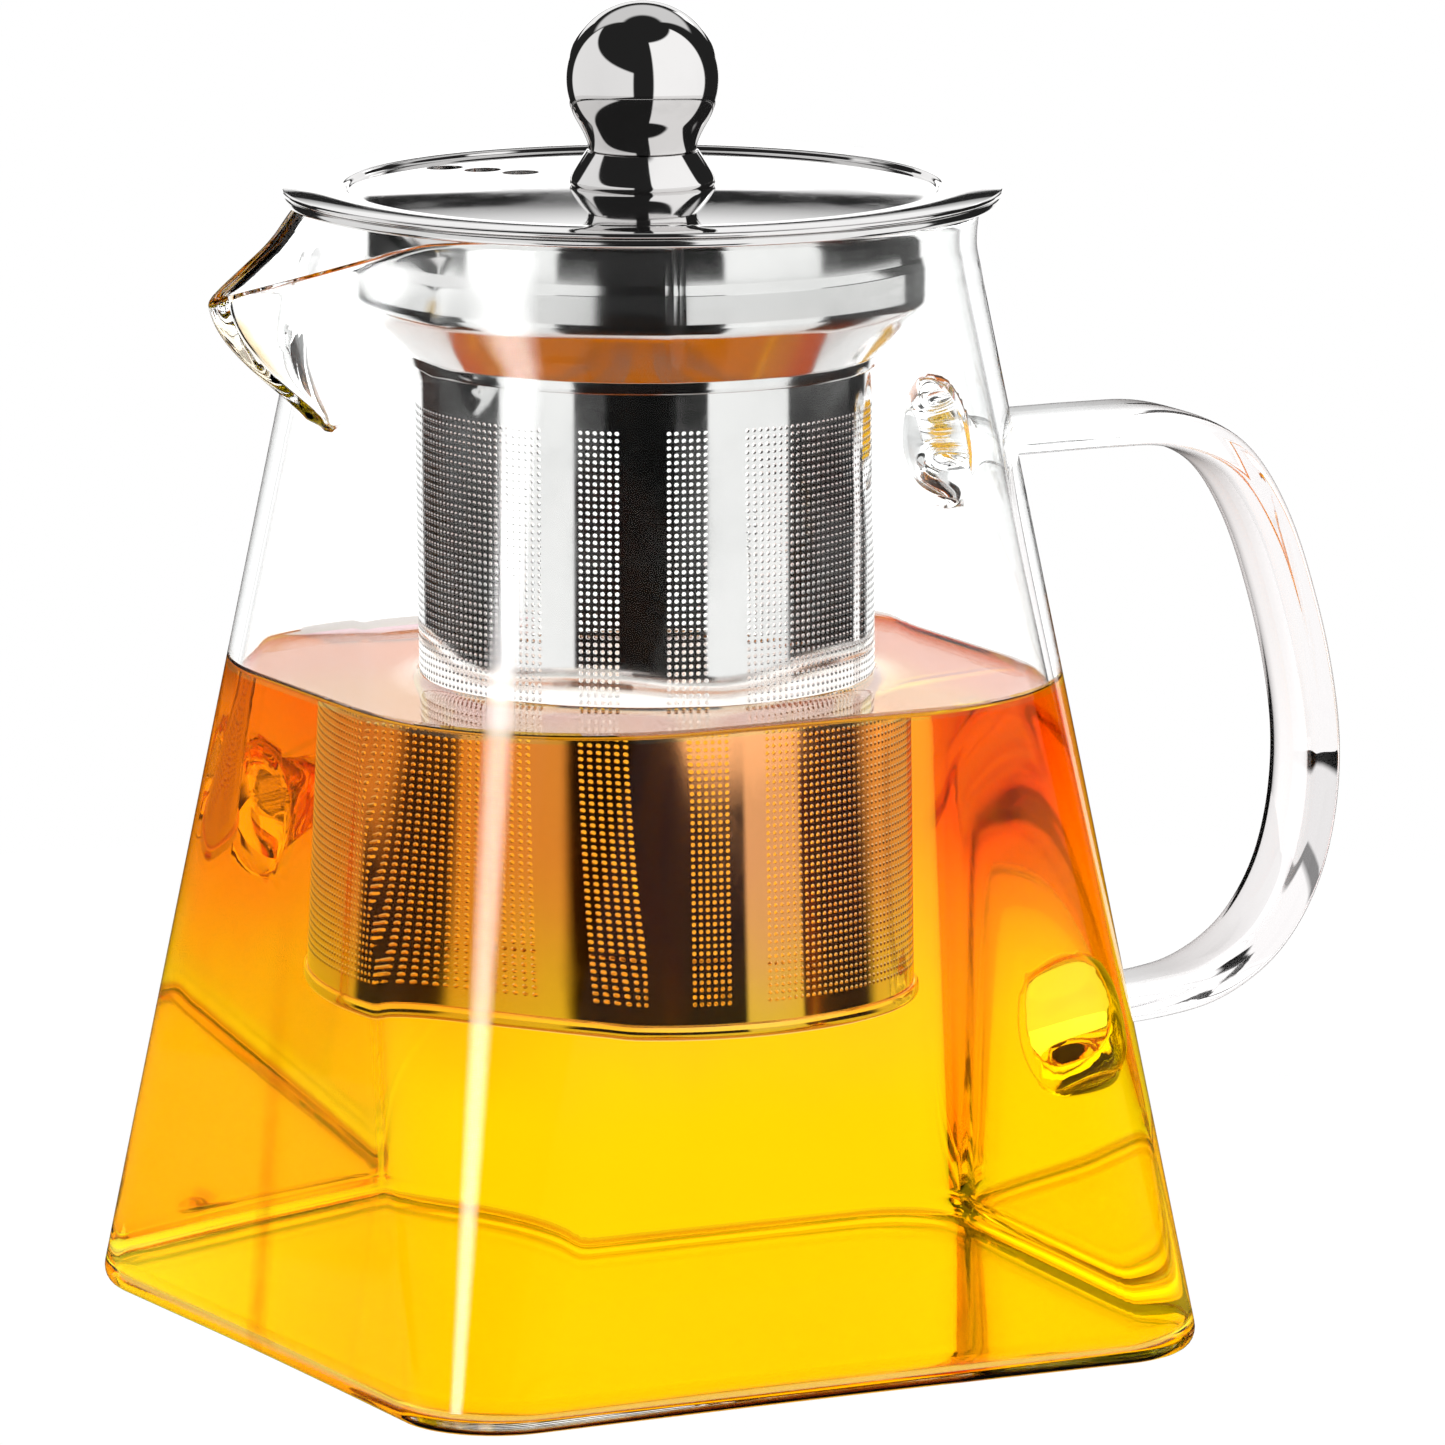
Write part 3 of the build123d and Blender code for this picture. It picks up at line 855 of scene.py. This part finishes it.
def tea_liquid(name):
    """Clear liquid that absorbs blue strongly and green a little, tinted by height and facing.

    Its top is part mirror close to the tube, and to rays that come off the steel.
    """
    material, g = new_material(name)
    place = g.add("TexCoord", out=3)
    height = g.add("SeparateXYZ", place, out=2)
    film = g.add("TexNoise", ("Vector", place), ("Scale", 70.0), ("Detail", 4.0))
    swirl = g.math("MULTIPLY", g.math("SUBTRACT", film, 0.5), 0.012)
    deep = g.step(g.math("ADD", height, swirl), 0.03, 0.056)
    facing_x, _, facing_z = g.outputs("SeparateXYZ", g.add("NewGeometry", out=3))
    side = g.step(g.math("ABSOLUTE", facing_x), 0.35, 0.85)
    at_top = g.step(height, TEA_Z * MM, (TEA_Z + 0.05) * MM)
    top = g.math("MAXIMUM", g.step(facing_z, 0.5, 0.8), at_top)
    upper = colour_mix(g, side, rgb(*TEA_HIGH), rgb(*TEA_SIDE))
    tint = colour_mix(g, deep, rgb(*TEA_LOW), upper)
    steep = g.add("SeparateXYZ", g.add("NewGeometry", out=4), out=2)
    steep = g.step(g.math("ABSOLUTE", steep), 0.3, 0.6)
    tint = colour_mix(g, top, tint, colour_mix(g, steep, rgb(*TEA_TOP), rgb(*TEA_FROM_ABOVE)))
    bump = g.add("Bump", ("Strength", 0.04), ("Distance", 0.0003), ("Height", film))
    shader = g.add(
        "BsdfPrincipled",
        ("Base Color", tint),
        ("Roughness", 0.0),
        ("IOR", TEA_IOR),
        ("Transmission Weight", 1.0),
        ("Specular Tint", g.grey(top)),
        ("Normal", bump),
    )
    axis = g.vector("LENGTH", g.vector("MULTIPLY", place, (1, 1, 0)), out=1)
    by_tube = g.math("MULTIPLY", g.step(axis, (TUBE_R + 5) * MM, (TUBE_R + 1) * MM), 0.25)
    from_steel = g.math("MULTIPLY", g.add("LightPath", out=5), 0.9)
    mirror = g.math("MULTIPLY", top, g.math("MAXIMUM", by_tube, from_steel))
    mirror = g.math("MULTIPLY", mirror, g.math("SUBTRACT", 1.0, steep))
    shader = g.add("MixShader", mirror, shader, g.add("BsdfGlossy", rgb(*GLEAM), 0.02))
    volume = g.add("VolumeAbsorption", rgb(*TEA_COLOUR), TEA_DENSITY)
    g.add("OutputMaterial", shader, volume)
    return material


def paint(obj, material, body, slot, *nodes):
    """Gives a piece its material and body, and hides the CAD nodes it stands for."""
    obj.data.materials.clear()
    obj.data.materials.append(material)
    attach(obj, body)
    if nodes:
        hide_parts(*nodes)


# ------------------------------------------------------------------ put it together
glass = clear_glass("clear_glass")
tea_material = tea_liquid("tea")
polished = steel("polished_steel", (0.76, 0.75, 0.745), 0.02, grain=0.01)
screen_steel = steel("screen_steel", (0.7, 0.695, 0.69), 0.05, grain=0.02, painted_tea_tint_and_glow=True)
collar_steel = steel("collar_steel", (0.72, 0.715, 0.71), 0.07, grain=0.03)
brushed = steel("brushed_steel", (0.62, 0.62, 0.62), 0.2, grain=0.1, stretch=(1, 1, 12))

pot = boolean(make_glass_body(), make_handle(), "UNION")
pot.data.shade_smooth()
liquid = boolean(make_tea(), make_handle(shrink=TEA_OVERLAP), "DIFFERENCE")
liquid.data.set_sharp_from_angle(angle=radians(50))
paint(pot, glass, "pot", "clear_glass", "glass_body", "glass_handle")
paint(liquid, tea_material, "pot", "tea", "tea")

for number, panel in enumerate(make_screen()):
    paint(panel, screen_steel, "infuser", "screen_steel", *(["infuser_screen"] if number == 0 else []))
paint(make_base(), screen_steel, "infuser", "screen_steel", "infuser_base")
paint(make_collar(), collar_steel, "infuser", "polished_steel", "infuser_collar")
paint(make_lid(), polished, "lid", "polished_steel", "lid_shell")
flared, sphere = make_knob()
paint(flared, polished, "lid", "polished_steel", "knob_foot")
paint(sphere, polished, "lid", "polished_steel", "knob_ball")
for node in ("lid_skirt", "knob_washer", "knob_screw"):
    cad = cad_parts[node]
    cad.data.materials.clear()
    cad.data.materials.append(brushed)

# ------------------------------------------------------------------ studio
FAR = 999  # past any angle
BEHIND = (150, FAR)
LEFT_FRONT = (-76, -34)
RIGHT_FRONT = (33, 76)
LEFT = (-148, -18)
RIGHT = (17, 125)
UNLIT = 0.006
FLOOR_SHOWN = 1.15
FLOOR_LIT = 1.35
FLOOR_IN_GLASS = 0.03


def studio_light():
    """A studio placed by the camera's heading, with a different set of lights for each kind of ray.

    A ray sees plain white directly, side boxes and a backdrop off steel, two slim boxes off the
    outside of the glass, and broken or even light after it has passed through glass and tea.
    """
    world = bpy.data.worlds.new("studio")
    bpy.context.scene.world = world
    world.use_nodes = True
    g = Graph(world.node_tree)
    ray = g.vector("NORMALIZE", g.add("TexCoord", out=0))
    turn = g.turn_from_camera(ray)
    rise = g.math("MULTIPLY", g.math("ARCSINE", g.add("SeparateXYZ", ray, out=2)), 180 / pi)
    away = g.math("ABSOLUTE", turn)
    slant = g.math("ADD", rise, g.math("MULTIPLY", g.math("ADD", turn, 12.0), 0.273))

    def box(turns, rises, strength, soft=1.5, around=turn, up=rise):
        """A patch of light between two headings and two heights, in degrees, with soft edges."""
        inside = g.math(
            "MULTIPLY",
            g.step(around, turns[0] - soft, turns[0] + soft),
            g.step(around, turns[1] + soft, turns[1] - soft),
        )
        inside = g.math("MULTIPLY", inside, g.step(up, rises[0] - soft, rises[0] + soft))
        inside = g.math("MULTIPLY", inside, g.step(up, rises[1] + soft, rises[1] - soft))
        return g.math("MULTIPLY", inside, strength)

    def add_up(lights, ambient):
        total = ambient
        for light in lights:
            total = g.math("ADD", total, light)
        return total

    ceiling = g.add("MapRange", rise, 10.2, 12.2, 0.35, 1.05)
    on_steel = add_up(
        [
            box((-125, -13), (-85, 14), 0.95, up=slant),
            box((17, 105), (-70, 60), 1.15),
            box((128, FAR), (35, 66), 0.75, soft=3, around=away),
            box((150, 162), (22, 30), 1.5),
            box((162, FAR), (2, 8.5), 1.35, soft=0.12, around=away),
            box(BEHIND, (-99, 2), 1.2, soft=0.12, around=away),
            g.math("MULTIPLY", box(BEHIND, (10.2, 25), 1.0, soft=0.12, around=away), ceiling),
        ],
        0.02,
    )
    through_glass = add_up(
        [
            box(LEFT_FRONT, (-60, -7.5), 1.3, soft=0.7),
            box(RIGHT_FRONT, (-60, -7.5), 1.3, soft=0.7),
            box(LEFT_FRONT, (8, 14), 1.3, soft=0.7),
            box(RIGHT_FRONT, (8, 14), 1.3, soft=0.7),
            box(LEFT, (-7.5, 8), 1.0, soft=0.7),
            box((-148, -76), (8, 14), 0.3, soft=0.7),
            box(RIGHT, (-7.5, 8), 1.0, soft=0.7),
            box(LEFT, (14, 45), 1.2),
            box(RIGHT, (14, 45), 1.2),
            box((148, FAR), (-99, 60), 1.4, around=away, soft=3),
            box((-FAR, FAR), (60, 99), 0.8),
        ],
        UNLIT,
    )
    in_liquid = add_up([box((-FAR, FAR), (-99, 60), 1.9), box((-FAR, FAR), (60, 99), 1.0)], 0.0)
    on_glass = add_up([box((-46, -35), (-25, 25), 42.0, soft=4), box((40, 70), (20, 60), 3.0)], 0.0)
    path = g.outputs("LightPath")
    pure = g.math("MULTIPLY", path["Is Reflection Ray"], path["Is Singular Ray"])
    level = g.add("Mix", pure, None, on_steel, on_glass)
    long_path = g.step(path["Ray Depth"], 6.4, 6.6)
    unreflected = g.step(path["Glossy Depth"], 0.6, 0.4)
    clear_view = g.add("MapRange", away, 88.0, 160.0, 0.06, 1.4)
    out_light = g.add("Mix", unreflected, None, through_glass, clear_view)
    out_light = g.add("Mix", long_path, None, out_light, in_liquid)
    level = g.add("Mix", path["Is Transmission Ray"], None, level, out_light)
    level = g.add("Mix", path["Is Camera Ray"], None, level, 1.0)
    g.add("OutputWorld", g.add("Background", g.grey(level), 1.0))


def studio_floor():
    """A pale round table top: white to the camera, lit behind, under and in two wedges in front."""
    turn = np.linspace(0, 2 * pi, 96, endpoint=False)
    ring = np.stack([300 * np.cos(turn), 300 * np.sin(turn), 0 * turn - 0.06], -1)
    low_ring = ring - [0, 0, 2]
    floor = skin("studio_floor", [ring * [0.5, 0.5, 1], ring, low_ring, low_ring * [0.5, 0.5, 1]])
    material, g = new_material("floor")
    spot = g.add("TexCoord", out=3)
    grain = g.add("TexNoise", ("Vector", spot), ("Scale", 40.0))
    tone = colour_mix(g, grain, rgb(0.86, 0.86, 0.86), rgb(0.9, 0.9, 0.9))
    reach = g.vector("LENGTH", spot, out=1)
    away = g.math("ABSOLUTE", g.turn_from_camera(spot))
    wedge = g.math("MULTIPLY", g.step(away, 32, 36), g.step(away, 78, 74))
    lit = g.math("MAXIMUM", g.math("MAXIMUM", wedge, g.step(away, 100, 115)), g.step(reach, 0.13, 0.11))
    lit = g.add("MapRange", lit, 0.0, 1.0, UNLIT, FLOOR_LIT)
    path = g.outputs("LightPath")
    pure = g.math("MULTIPLY", path["Is Reflection Ray"], path["Is Singular Ray"])
    lit = g.add("Mix", pure, None, lit, FLOOR_IN_GLASS)
    strength = g.add("Mix", path["Is Camera Ray"], None, lit, FLOOR_SHOWN)
    g.add("OutputMaterial", g.add("Emission", tone, strength))
    floor.data.materials.append(material)


def aim_camera():
    data = bpy.data.cameras.new("camera")
    camera = bpy.data.objects.new("camera", data)
    bpy.context.scene.collection.objects.link(camera)
    camera.location = CAMERA_AT
    camera.rotation_euler = Vector(CAMERA_AIM).to_track_quat("-Z", "Y").to_euler()
    data.lens = CAMERA_LENS
    data.sensor_width = 36
    data.clip_end = 10
    bpy.context.scene.camera = camera


studio_light()
studio_floor()
aim_camera()
bpy.context.scene.view_settings.view_transform = "Standard"
bpy.context.scene.cycles.max_bounces = BOUNCES
bpy.context.scene.cycles.transmission_bounces = BOUNCES
bpy.context.scene.cycles.glossy_bounces = BOUNCES
